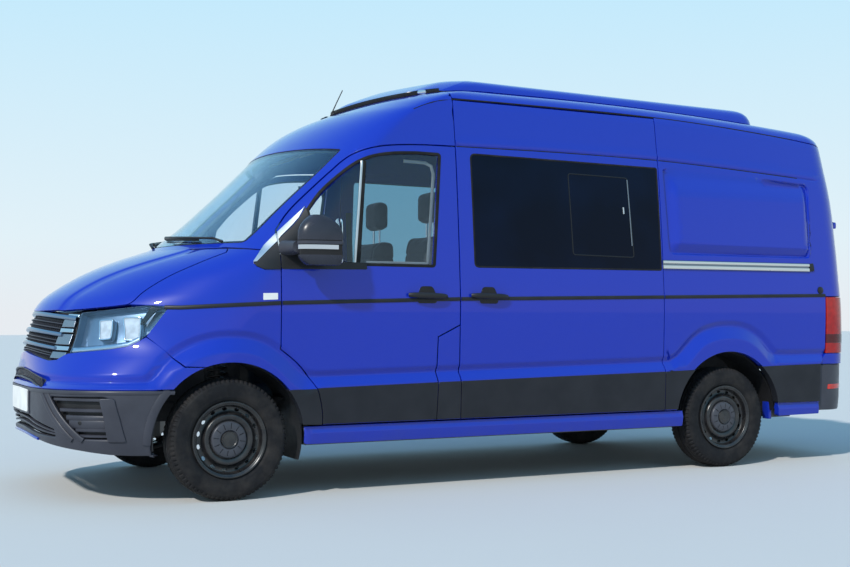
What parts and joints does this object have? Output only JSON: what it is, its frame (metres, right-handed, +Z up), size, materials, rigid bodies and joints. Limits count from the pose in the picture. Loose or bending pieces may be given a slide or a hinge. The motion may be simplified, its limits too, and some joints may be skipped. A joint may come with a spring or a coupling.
{
  "type": "camper van",
  "caption": "High-roof camper van in royal blue with a low lifting roof shell, privacy glass, dark lower cladding and black steel wheels.",
  "frame": {"origin": "on the ground under the middle of the vehicle's length and width", "axes": "+X towards the nose, +Y to the vehicle's left, +Z up"},
  "size_m": [5.986, 2.414, 2.6681],
  "materials": {
    "paint": "deep royal blue gloss paint",
    "plastic": "satin dark grey plastic",
    "lining": "dark grey cab plastic",
    "clear_glass": "clear safety glass",
    "privacy_glass": "black privacy glass",
    "rubber": "worn black tread rubber",
    "wheel_steel": "black painted pressed steel",
    "cast": "bare grey casting",
    "headlamp": "clear lamp cover over bright units",
    "tail_lamp": "red lamp cover",
    "cloth": "dark grey woven cloth",
    "under": "dark underbody paint"
  },
  "bodies": {
    "body": {"platform": "under", "windscreen_frame": "paint", "windscreen": "clear_glass", "roof": "paint", "side_left": "paint", "side_right": "paint", "sliding_door": "paint", "sliding_door_window": "privacy_glass", "side_window_right": "privacy_glass", "wing_left": "paint", "wing_right": "paint", "front_bumper": "plastic", "grille": "plastic", "headlamp_left": "headlamp", "headlamp_right": "headlamp", "tail_lamp_left": "tail_lamp", "tail_lamp_right": "tail_lamp", "rear_bumper": "plastic", "rear_axle": "cast", "engine": "cast", "dashboard": "lining", "steering_wheel": "lining", "seat_left": "cloth", "seat_right": "cloth"},
    "front_door_left": {"front_door_left": "paint", "door_glass_left": "clear_glass", "mirror_left": "plastic"},
    "front_door_right": {"front_door_right": "paint", "door_glass_right": "clear_glass", "mirror_right": "plastic"},
    "rear_door_left": {"rear_door_left": "paint"},
    "rear_door_right": {"rear_door_right": "paint"},
    "bonnet": {"bonnet": "paint"},
    "fuel_flap": {"fuel_flap": "paint"},
    "pop_top": {"pop_top": "paint"},
    "steering_left": {"knuckle_left": "cast"},
    "steering_right": {"knuckle_right": "cast"},
    "wheel_front_left": {"wheel_front_left": "wheel_steel", "tyre_front_left": "rubber"},
    "wheel_front_right": {"wheel_front_right": "wheel_steel", "tyre_front_right": "rubber"},
    "wheel_rear_left": {"wheel_rear_left": "wheel_steel", "tyre_rear_left": "rubber"},
    "wheel_rear_right": {"wheel_rear_right": "wheel_steel", "tyre_rear_right": "rubber"}
  },
  "joints": [
    {"name": "front_door_left_hinge", "type": "hinge", "parent": "body", "child": "front_door_left", "pos_m": [1.7, 1.02, 1], "axis": [0, 0, -1], "range_deg": [0, 70]},
    {"name": "front_door_right_hinge", "type": "hinge", "parent": "body", "child": "front_door_right", "pos_m": [1.7, -1.02, 1], "axis": [0, 0, 1], "range_deg": [0, 70]},
    {"name": "rear_door_left_hinge", "type": "hinge", "parent": "body", "child": "rear_door_left", "pos_m": [-2.925, 0.834, 1.5], "axis": [0, 0, -1], "range_deg": [0, 180]},
    {"name": "rear_door_right_hinge", "type": "hinge", "parent": "body", "child": "rear_door_right", "pos_m": [-2.925, -0.834, 1.5], "axis": [0, 0, 1], "range_deg": [0, 180]},
    {"name": "bonnet_hinge", "type": "hinge", "parent": "body", "child": "bonnet", "pos_m": [1.925, 0, 1.47], "axis": [0, -1, 0], "range_deg": [0, 55]},
    {"name": "fuel_flap_hinge", "type": "hinge", "parent": "body", "child": "fuel_flap", "pos_m": [0.51, 1.008, 0.7], "axis": [0, 0, 1], "range_deg": [0, 90]},
    {"name": "pop_top_hinge", "type": "hinge", "parent": "body", "child": "pop_top", "pos_m": [-2.222, 0, 2.515], "axis": [0, -1, 0], "range_deg": [0, 20]},
    {"name": "steering_left_pivot", "type": "hinge", "parent": "body", "child": "steering_left", "pos_m": [1.997, 0.795, 0.352], "axis": [0, 0, 1], "range_deg": [-35, 35]},
    {"name": "steering_right_pivot", "type": "hinge", "parent": "body", "child": "steering_right", "pos_m": [1.997, -0.795, 0.352], "axis": [0, 0, 1], "range_deg": [-35, 35]},
    {"name": "wheel_front_left_spin", "type": "hinge", "parent": "steering_left", "child": "wheel_front_left", "pos_m": [1.997, 0.8785, 0.352], "axis": [0, 1, 0], "continuous": true},
    {"name": "wheel_front_right_spin", "type": "hinge", "parent": "steering_right", "child": "wheel_front_right", "pos_m": [1.997, -0.8785, 0.352], "axis": [0, 1, 0], "continuous": true},
    {"name": "wheel_rear_left_spin", "type": "hinge", "parent": "body", "child": "wheel_rear_left", "pos_m": [-1.643, 0.869, 0.352], "axis": [0, 1, 0], "continuous": true},
    {"name": "wheel_rear_right_spin", "type": "hinge", "parent": "body", "child": "wheel_rear_right", "pos_m": [-1.643, -0.869, 0.352], "axis": [0, 1, 0], "continuous": true}
  ],
  "couplings": [
    {"joint": "steering_right_pivot", "follows": "steering_left_pivot", "ratio": 1}
  ]
}
